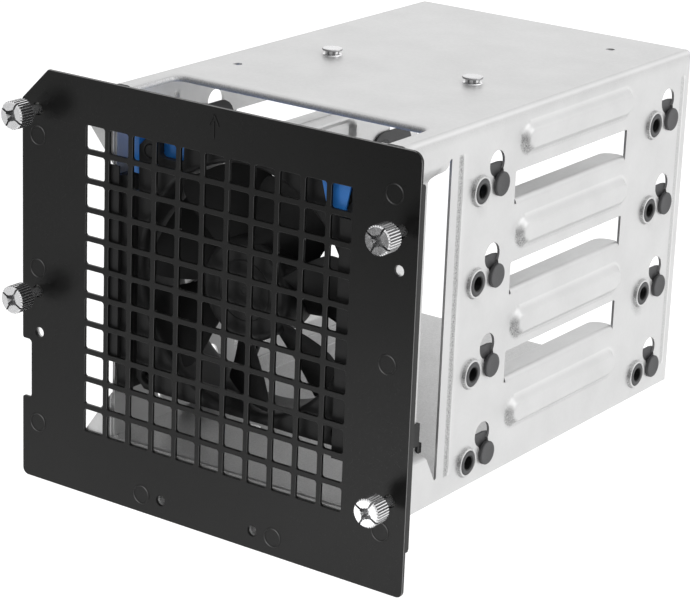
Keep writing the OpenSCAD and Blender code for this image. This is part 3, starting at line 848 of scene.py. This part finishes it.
def thumbscrew_mesh(x, z, low, high):
    """A knurled head with a cross recess, and a neck and shank behind it."""
    head = low + HEAD_LENGTH
    knurls, chamfer = 32, 0.45
    profile = [(0.0, low), (2.9, low), (3.15, low), (HEAD_R - chamfer, low),
               (HEAD_R, low + chamfer), (HEAD_R, low + 2.0), (HEAD_R, head - 2.0),
               (HEAD_R, head - chamfer), (HEAD_R - chamfer, head), (1.6, head),
               (1.4, head + 0.15), (1.4, 0.95), (1.75, 1.25), (1.75, high - 0.4),
               (1.4, high), (0.0, high)]

    def knurl(k, i):
        return -0.34 if (k % 3 == 2 and 3 < i < 8) else 0.0

    mesh = lathe(profile, (x, 0, z), "y", knurls * 3, knurl)
    above, slot, groove = low - 1, 0.62, 0.32
    cross = [block(-slot, slot, above, low + 1.9, -2.0, 2.0),
             block(-2.0, 2.0, above, low + 1.9, -slot, slot),
             block(-groove, groove, above, low + 1.1, -6, 6),
             block(-6, 6, above, low + 1.1, -groove, groove),
             lathe([(0, above), (2.1, above), (1.5, low + 0.4), (0.9, low + 1.2),
                    (0, low + 1.2)], (0, 0, 0), "y", 24)]
    place = Matrix.Translation((x * MM, 0, z * MM)) @ Matrix.Rotation(math.radians(28), 4, "Y")
    for part in cross:
        part.transform(place)
    return boolean("DIFFERENCE", mesh, cross)


def screw_painted_shade(away, depth):
    """Painted shade: a little on the front face, more in the recess and slots, in the knurl grooves
    and on the shank.
    """
    if depth < 2.0 and away < HEAD_R - 0.5:
        if depth < 0.05:
            return 0.2
        return 0.62 if away > 2.0 else (0.15 if depth > 1.8 else 0.5)
    if 0.4 < depth < 5.6 and away < HEAD_R - 0.14:
        return 0.72
    return 0.35 if depth > 6.1 else 0.0


for name, (x, z) in zip(SCREW_NAMES, SCREWS):
    (_, low, _), (_, high, _) = mm_box("thumbscrew_" + name)
    screw = thumbscrew_mesh(x, z, low, high)
    mark_faces(screw, lambda a, y, b: screw_painted_shade(math.hypot(a - x, b - z), y - low))
    emit("screw_" + name, screw, "plated_steel", "screw_" + name, ["thumbscrew_" + name], 25)
    ring = lathe([(1.5, 0.1), (1.6, 0.12), (2.75, 0.12), (2.9, 0.25), (2.9, 0.75), (2.75, 0.88),
                  (1.6, 0.88), (1.5, 0.85)], (x, 0, z), "y", 36)
    emit("ring_" + name, ring, "nylon", "captive_" + name, ["retaining_ring_" + name], 30)

# ---- studs and rivets

STUDS = [PLACE["stud_left"][:2], PLACE["stud_right"][:2]]


def stud_painted_light(x, y, z):
    """Painted light: a slightly darker head top, painted shade on the head's lower side and under
    it, and a neck striped with painted reflections.
    """
    height = z - TOP
    if height > 1.95:
        return 0.15
    if height > 1.35:
        return 0.6
    if height > 0.4:
        near = min(STUDS, key=lambda stud: math.hypot(x - stud[0], y - stud[1]))
        return 0.75 if math.sin(7 * math.atan2(y - near[1], x - near[0])) > 0 else 0.0
    return 0.0


stud_profile = [(0, 2.2), (2.6, 2.2), (3.15, 2.05), (3.3, 1.8), (3.2, 1.5), (2.5, 1.4),
                (2.2, 1.3), (2.2, 0.45), (2.5, 0.3), (3.0, 0.22), (3.1, 0.0), (0, 0.0)]
studs = joined([lathe(stud_profile, (x, y, TOP), "z") for x, y in STUDS])
mark_faces(studs, stud_painted_light)
emit("studs", studs, "plated_steel", "cage", ["top_studs"], 30)

rivet_profile = [(0, 1.5), (0.9, 1.45), (1.6, 1.25), (2.05, 0.98), (2.2, 0.8), (1.19, 0.8),
                 (1.19, -0.78), (0, -0.78)]
rivets = joined([lathe(rivet_profile, (x, 0, z), "y", 28) for x, z in RIVETS])
emit("rivets", rivets, "plated_steel", "cage", ["frame_rivets"], 30)

# ---- isolators

PAD_T = 0.85


def pad_outline(y, z, r, steps=10):
    return arc(y + BUTTON_AWAY, z, r, -90, 90, steps) + arc(y, z, r, 90, 270, steps)


def bushing_painted_shade(x, y, z):
    """Painted shade in the bore and in the fine gap round the rim."""
    away = min(math.hypot(y - yc, z - zr) for yc in COLS for zr in ROWS)
    return 1.0 if away < 2.4 or away > 3.75 else 0.0


for side, wall, label in ((1, X_RIGHT, "right"), (-1, X_LEFT, "left")):
    inside = wall - side * SHEET
    near, far = sorted((inside, inside - side * PAD_T))
    back = SHEET + PAD_T
    tube = [(2.1, -back), (2.1, 0.85), (2.3, 1.03), (2.6, 1.1), (3.4, 1.06), (3.68, 0.95),
            (3.79, 0.8), (3.79, -back + 0.1), (3.7, -back)]
    disc = [(0, 1.08), (2.3, 1.1), (3.2, 1.2), (3.5, 1.15), (3.68, 0.95), (3.7, 0.2),
            (3.6, 0.02), (2.55, 0.02), (2.55, -SHEET), (0, -SHEET)]
    tube, disc = ([(r, side * h) for r, h in outline] for outline in (tube, disc))
    seats = [(y, z) for z in ROWS for y in COLS]
    rubbers = {
        "pads": joined([sheet_metal(pad_outline(y, z, 6.5), [hole(y, z, COLLAR_R, 32)], "x", near,
                                    far, 0.2) for y, z in seats]),
        "bushings": joined([lathe(tube, (wall, y, z), "x", 36) for y, z in seats]),
        "buttons": joined([lathe(disc, (wall, y + BUTTON_AWAY, z), "x", 36) for y, z in seats])}
    mark(rubbers["bushings"], bushing_painted_shade)
    for kind, rubber in rubbers.items():
        emit(f"{kind}_{label}", rubber, "dark_rubber", "cage", [f"isolator_{kind}_{label}"], 35)

# ---- fan

(FX0, FY0, FZ0), (FX1, FY1, FZ1) = mm_box("fan_frame")
FAN_X, FAN_Z = (FX0 + FX1) / 2, (FZ0 + FZ1) / 2
FAN_AT = (FAN_X, 0, FAN_Z)
DUCT_R, HUB_R, FLANGE_T, EAR_PITCH = 38.0, 16.0, 2.5, 71.5
BLADES = 7
EARS = [(FAN_X + i * EAR_PITCH / 2, FAN_Z + j * EAR_PITCH / 2) for i in (-1, 1) for j in (-1, 1)]
UPPER_EARS = [(x, z) for x, z in EARS if z > FAN_Z]


def blade(turn):
    """One twisted, swept blade with rounded tips, between the hub and the duct."""
    radial, across, half_thick = 14, 12, 0.6
    root_r, tip_r, middle_y, half_depth = HUB_R - 0.5, 37.2, 8.55, 6.55

    def middle(u, v):
        r = root_r + (tip_r - root_r) * u
        width = (15.0 + 11.0 * u) / r
        v *= 1 - 0.08 * max(0.0, (u - 0.85) / 0.15) ** 2
        turned = turn + 0.886 + 0.453 * u - 0.291 * u * u - v * width / 2
        y = middle_y + v * half_depth + 0.5 * (1 - v * v)
        return Vector((FAN_X + r * math.cos(turned), y, FAN_Z + r * math.sin(turned)))

    front, back = [], []
    for i in range(radial + 1):
        u = i / radial
        for j in range(across + 1):
            v = -1 + 2 * j / across
            d = 0.01
            along = middle(u + d, v) - middle(u - d, v)
            round_way = middle(u, v + d) - middle(u, v - d)
            normal = along.cross(round_way).normalized()
            edge = 1 - 0.75 * max(0.0, (abs(v) - 0.6) / 0.4) ** 2
            half = half_thick * edge * (1 - 0.35 * u)
            front.append(tuple(middle(u, v) + normal * half))
            back.append(tuple(middle(u, v) - normal * half))
    return slab(front, back, radial + 1, across + 1)


def rotor_mesh():
    (_, y0, _), (_, y1, _) = mm_box("fan_rotor")
    r = HUB_R
    cap = [(0, y0 + 0.1), (1.0, y0 + 0.1), (1.25, y0), (9.0, y0), (9.3, y0 + 0.15), (9.6, y0)]
    cap += [(r - 2.2 + 2.2 * math.sin(a), y0 + 2.2 - 2.2 * math.cos(a))
            for a in (math.radians(15 * k) for k in range(7))]
    cap += [(r, y1 - 0.4), (r - 0.3, y1), (r - 1.4, y1), (r - 1.4, y0 + 1.4), (1.2, y0 + 1.4),
            (1.2, y0 + 0.18), (0, y0 + 0.18)]
    hub = lathe(cap, FAN_AT, "y", 72)
    return joined([hub, *(blade(2 * math.pi * k / BLADES) for k in range(BLADES))])


def flange(y0, y1, notched):
    """One end of the fan's frame. The front one has a notch for the lead."""
    chamfer = 3.1
    top = [(FX1 - chamfer, FZ1), (FX0 + chamfer, FZ1)]
    radii = [0.9, 0.9]
    if notched:
        inward = [(-23.0, 0), (-23.0, 5.5), (-32.2, 5.5), (-32.2, 0)]
        top[1:1] = [(FAN_X + e, FZ1 - d) for e, d in inward]
        radii = [0.9, 0.5, 1.2, 1.2, 0.5, 0.9]
    outline = [(FX0, FZ0 + chamfer), (FX0 + chamfer, FZ0), (FX1 - chamfer, FZ0),
               (FX1, FZ0 + chamfer), (FX1, FZ1 - chamfer), *top, (FX0, FZ1 - chamfer)]
    holes = [hole(FAN_X, FAN_Z, DUCT_R + 1.2, 96)] + [hole(x, z, 2.2) for x, z in EARS]
    return sheet_metal(rounded(outline, [0.9] * 5 + radii + [0.9], 4), holes, "y", y0, y1, 0.3)


def frame_mesh():
    """The duct, its two flanges and the four struts that carry the motor's base."""
    r = DUCT_R
    mouth = [(r + 1.45, 0), (r + 0.9, 0.1), (r + 0.4, 0.5), (r + 0.1, 1.2), (r, 2.4)]
    bell = [(a, FY0 + b) for a, b in mouth] + [(a, FY1 - b) for a, b in reversed(mouth)]
    base = [(3.2, FY1 - 1.5), (11.6, FY1 - 1.5), (12, FY1 - 1.2), (12, FY1 - 0.2),
            (11.8, FY1), (3.2, FY1 - 0.2)]
    parts = [lathe(bell, FAN_AT, "y", 128), flange(FY0, FY0 + FLANGE_T, True),
             flange(FY1 - FLANGE_T, FY1, False), lathe(base, FAN_AT, "y", 56)]
    for turn in (20, 110, 200, 290):
        a = -math.radians(turn)
        u, w = Vector((math.cos(a), math.sin(a))), Vector((-math.sin(a), math.cos(a)))
        ring = [u * 11.4 + w * 1.7, u * 11.4 - w * 1.7, u * (r + 0.6) - w * 1.2,
                u * (r + 0.6) + w * 1.2]
        ring = [(FAN_X + p.x, FAN_Z + p.y) for p in ring]
        parts.append(bevelled(prism(ring, "y", FY1 - 2.5, FY1 - 0.1), 0.4))
    return joined(parts)


emit("fan_impeller", rotor_mesh(), "black_plastic", "rotor", ["fan_rotor"], 40)
emit("fan_housing", frame_mesh(), "black_plastic", "fan_module", ["fan_frame"], 32)

pin = [(0, FY0 + 0.35), (1.2, FY0 + 0.1), (1.9, FY0 + 0.15), (2.12, FY0 + 0.5),
       (2.12, FY1 - 0.5), (1.8, FY1 - 0.15), (0, FY1 - 0.1)]
pins = joined([lathe(pin, (x, 0, z), "y", 28) for x, z in UPPER_EARS])
emit("mounting_pins", pins, "black_plastic", "fan_module", ["fan_pins"], 40)

# ---- latch handle


def handle_mesh():
    """A bridge over the fan with two side strips, a thumb tab and two open pockets."""
    (x0, front, side_z), (x1, _, top_z) = mm_box("fan_handle")
    y0, y1 = FY0 + FLANGE_T + 0.3, FY1 - FLANGE_T - 0.3
    clear, wing, under, low = DUCT_R + 1.8, 19.0, FZ1 + 0.2, FZ1 - 7.5
    arc_low = math.degrees(math.asin((low - FAN_Z) / clear))
    arc_high = math.degrees(math.acos(wing / clear))
    right = arc(FAN_X, FAN_Z, clear, arc_low, arc_high, 8)
    left = arc(FAN_X, FAN_Z, clear, 180 - arc_high, 180 - arc_low, 8)
    profile = [(x0, side_z), (x0, top_z), (x1, top_z), (x1, side_z), (FX1 + 0.1, side_z),
               (FX1 + 0.1, low), *right, (FAN_X + wing, under), (FAN_X - wing, under), *left,
               (FX0 - 0.1, low), (FX0 - 0.1, side_z)]
    strips = [block(a, b, FY0 + 0.2, y0 + 0.5, side_z, FZ1 + 0.3)
              for a, b in ((x0, FX0 - 0.1), (FX1 + 0.1, x1))]
    tab0, tab1, tab_low = 36.2, 48.8, FZ1 - 8.3
    tab = rounded([(tab0, top_z), (tab0 + 3.6, tab_low), (tab1 - 2.7, tab_low), (tab1, top_z)],
                  [0, 1.0, 1.0, 0])
    body = boolean("UNION", prism(profile, "y", y0, y1),
                   [*strips, prism(tab, "y", front, front + 0.7),
                    block(tab0, tab1, front, y0 + 0.5, under, top_z)])
    pins = [lathe([(0, y0 - 1), (2.35, y0 - 1), (2.35, y1 + 1), (0, y1 + 1)], (x, 0, z), "y", 28)
            for x, z in UPPER_EARS]
    pockets = [block(FAN_X + side * 13.5 - 10.5, FAN_X + side * 13.5 + 10.5, y0 + 1.6, y1 - 1.6,
                     under + 1.6, top_z + 1) for side in (-1, 1)]
    return bevelled(boolean("DIFFERENCE", body, [*pins, *pockets]), 0.3, 35)


emit("latch_handle", handle_mesh(), "blue_plastic", "fan_module", ["fan_handle"], 35)

# ---- fan bracket


def bracket_mesh():
    """The left and right rails with the floor between them, a lip and a hook."""
    (_, _, z0), (_, _, right_z) = mm_box("fan_bracket")
    left_z = 100.0
    wall, rib = X_LEFT + SHEET, 1.5
    leg0, leg1 = FX0 - 2.2, FX1 + 2.2
    inner, outer = X_RIGHT - STEP_IN - SHEET, X_RIGHT - STEP_IN
    hook_z, lip_z, lip_top = 40.9, 41.0, 102.9
    section = [(wall + 0.02, FY0), (leg0, FY0), (leg0, FY0 + rib), (wall + rib, FY0 + rib),
               (wall + rib, FY1 - rib), (leg0, FY1 - rib), (leg0, FY1), (wall + 0.02, FY1)]
    left = prism(rounded(section, 0.3, 3), "z", z0, left_z)
    lip = [(X_LEFT - 1.9, -0.7), (wall + rib, -0.7), (wall + rib, -0.1), (X_LEFT - 1.9, -0.1)]
    neck = block(wall + 0.05, wall + rib, -0.3, FY0 + 0.3, lip_z, left_z)
    floor_part = block(wall + 0.02, inner - 0.02, 12, FY1, z0, FZ0 - 0.2)
    right = [block(leg1, leg1 + rib, FY0, FY1, z0, right_z),
             block(leg1, inner - 0.02, FY0, FY0 + rib, z0, right_z),
             block(leg1 - 7.4, leg1 + 3, 0.1, 0.8, z0, right_z),
             block(leg1, leg1 + 3, 0.1, FY0 + 0.3, z0, right_z)]
    hook = [block(inner - 2, outer + 0.8, STEP_Y + 0.1, STEP_Y + 0.8, z0, hook_z),
            block(outer + 0.1, outer + 0.8, STEP_Y - 4.9, STEP_Y + 0.8, hook_z - 7, hook_z),
            block(outer + 0.1, outer + 0.8, STEP_Y - 3, STEP_Y - 2.2, hook_z - 0.2, hook_z + 9)]
    body = boolean("UNION", left, [prism(lip, "z", lip_z, lip_top), neck, floor_part, *right,
                                   *hook])
    pockets = [block(-30 + 16 * k, -18 + 16 * k, 13.5, FY1 - 1.5, z0 + 1.4, FZ0 + 1)
               for k in range(5)]
    return bevelled(boolean("DIFFERENCE", body, pockets), 0.12, 35)


emit("fan_cradle", bracket_mesh(), "black_plastic", "cage", ["fan_bracket"], 35)

# ---- floor panel and front frame


def bend(corner, inside, outside, start, end, n=6):
    """The outline of a folded strip's bend."""
    return arc(*corner, outside, start, end, n) + arc(*corner, inside, end, start, n)


def floor_mesh():
    """The cage's floor: a panel with a folded strip at each side and one in front."""
    (x0, y0, low), (x1, y1, _) = mm_box("bottom_panel")
    top, r = BASE + SHEET, 1.0
    side_y0, side_y1 = 60, 130
    front0, front1, fold_z = X_LEFT + 6, X_RIGHT - 6, BASE - r + SHEET
    parts = [sheet_metal([(x0 + r, y0 + r), (x1 - r, y0 + r), (x1 - r, y1), (x0 + r, y1)],
                         [hole(x, 34, 2.5) for x in (-10, 36)], "z", BASE, top)]
    for side, x, start, end in ((1, x1, -90, 0), (-1, x0, 270, 180)):
        fold_x = x - side * r
        parts.append(prism(bend((fold_x, BASE + r), r - SHEET, r, start, end), "y", side_y0,
                           side_y1))
        strip = rounded([(side_y0, BASE + r), (side_y1, BASE + r), (side_y1, BASE + 7),
                         (side_y0, BASE + 7)], [0, 0, 3, 3])
        parts.append(sheet_metal(strip, [], "x", *sorted((x, x - side * SHEET)), 0.08))
        parts += [block(*sorted((fold_x, x)), a, b, BASE, top)
                  for a, b in ((y0 + r, side_y0), (side_y1, y1))]
    parts.append(prism(bend((y0 + r, fold_z), r - SHEET, r, 90, 180), "x", front0, front1))
    strip = rounded([(front0, low), (front1, low), (front1, fold_z), (front0, fold_z)],
                    [2, 2, 0, 0])
    rivet_holes = [hole(x, z, RIVET_HOLE_R, 20) for x, z in RIVETS[2:]]
    parts.append(sheet_metal(strip, rivet_holes, "y", y0, y0 + SHEET, 0.08))
    parts += [block(a, b, y0, y0 + r, BASE, top) for a, b in ((x0 + r, front0), (front1, x1 - r))]
    return joined(parts)


def front_frame_mesh():
    """The frame behind the plate, with corner gussets and two drawn threads."""
    (x0, y0, z0), (x1, thread_y, z1) = mm_box("front_frame")
    wall, low, high = X_LEFT + 0.2, BASE + 0.6, TOP - 13
    outline = [(x0, z0), (x1, z0), (x1, z1), (x0 + 7.6, z1), (x0 + 7.6, TOP - 9.6),
               (x0, TOP - 9.6), (x0, 41), (x0 + 2.4, 41), (x0 + 2.4, 20), (x0, 20)]
    opening = [(-57, low), (wall - 10.3, low), (wall, low + 14.5), (wall, low), (57, low),
               (57, high), (wall, high), (wall, high - 12.1), (wall - 10.5, high), (-57, high)]
    holes = [opening[::-1]]
    holes += [hole(x, z, SCREW_HOLE_R) for x, z in SCREWS]
    holes += [hole(x, z, PLATE_HOLE_R) for x, z in PLATE_HOLES]
    holes += [hole(x, z, RIVET_HOLE_R, 20) for x, z in RIVETS]
    threads = [(PLATE_HOLE_R - 0.12 * (k % 2), thread_y * (1 - k / 10)) for k in range(10)]
    drawn = [(PLATE_HOLE_R, -0.05), (2.9, -0.05), (2.65, 0.3), (2.6, thread_y - 0.2),
             (2.4, thread_y), *threads]
    return joined([sheet_metal(rounded(outline, 0.8), holes, "y", y0, 0, 0.06),
                   *(lathe(drawn, (x, 0, z), "y", 32) for x, z in PLATE_HOLES[:2])])


def thread_painted_shade(x, y, z):
    """Painted shade on the cut threads inside the two lower holes."""
    away = min(math.hypot(x - hx, z - hz) for hx, hz in PLATE_HOLES[:2])
    return 1.0 if away < 1.8 and y > -0.1 else 0.0


cage_floor, mounting_frame = floor_mesh(), front_frame_mesh()
# Painted shade: the whole cage floor is darkened evenly.
mark(cage_floor, lambda x, y, z: 0.3)
mark(mounting_frame, thread_painted_shade)
emit("cage_floor", cage_floor, "galvanised", "cage", ["bottom_panel"], 28)
emit("mounting_frame", mounting_frame, "galvanised", "cage", ["front_frame"], 30)

# ---- nodes that keep their CAD shape

replaced = {n for o in bpy.data.objects for n in o.get("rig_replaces", [])}
slot_of = {p["node"]: p["material_slot"] for p in frame["record"]["subparts"]}
for node, obj in frame["nodes"].items():
    if node not in replaced:
        obj.data.materials.clear()
        obj.data.materials.append(BY_SLOT[slot_of[node]])

# ---- floor and light

FLOOR_Z = -0.12
ground = bpy.data.meshes.new("floor")
ground.from_pydata([(-3, -0.22, FLOOR_Z), (3, -0.22, FLOOR_Z), (3, 5, FLOOR_Z), (-3, 5, FLOOR_Z)],
                   [], [(0, 1, 2, 3)])
floor_mat, floor_tree, floor_shader = new_material("floor")
floor_tree.links.new(ramp(floor_tree, noise(floor_tree, 3.0), [(0.3, 0.93), (0.7, 0.95)]),
                     floor_shader.inputs["Base Color"])
floor_shader.inputs["Roughness"].default_value = 0.9
floor_shader.inputs["Emission Color"].default_value = (1, 1, 1, 1)
floor_shader.inputs["Emission Strength"].default_value = 0.25
ground.materials.append(floor_mat)
linked("floor", ground)


def studio_world():
    """White to the eye; as light, strong behind and above and dim in front and below."""
    world = bpy.data.worlds.new("world")
    bpy.context.scene.world = world
    world.use_nodes = True
    tree = world.node_tree
    back = tree.nodes["Background"]
    coords = tree.nodes.new("ShaderNodeTexCoord")
    dot = tree.nodes.new("ShaderNodeVectorMath")
    dot.operation = "DOT_PRODUCT"
    dot.inputs[1].default_value = (0.30, 0.62, 0.72)
    tree.links.new(coords.outputs["Generated"], dot.inputs[0])
    spread = tree.nodes.new("ShaderNodeMapRange")
    spread.inputs["From Min"].default_value = -1
    spread.inputs["From Max"].default_value = 1
    tree.links.new(dot.outputs["Value"], spread.inputs["Value"])
    shade = ramp(tree, spread.outputs["Result"],
                 [(0.05, 0.16), (0.40, 0.20), (0.54, 0.60), (0.72, 1.08)])
    path = tree.nodes.new("ShaderNodeLightPath")
    seen = blend(tree, path.outputs["Is Camera Ray"], shade, 1.0)
    tree.links.new(seen, back.inputs["Color"])


studio_world()


def area_light(name, place, target, size, power):
    data = bpy.data.lights.new(name, "AREA")
    data.shape = "RECTANGLE"
    data.size, data.size_y = size
    data.energy = power
    light = linked(name, data)
    light.location = place
    direction = Vector(target) - Vector(place)
    light.rotation_euler = direction.to_track_quat("-Z", "Y").to_euler()


area_light("side", (1.3, 0.7, 0.9), (0, 0.08, 0.05), (1.2, 1.2), 4)
area_light("front_card", (-0.15, -0.42, -0.22), (0.05, 0, 0.02), (0.22, 0.22), 0.32)
area_light("left_card", (-0.38, -0.40, -0.06), (-0.06, 0, 0.08), (0.2, 0.3), 0.16)
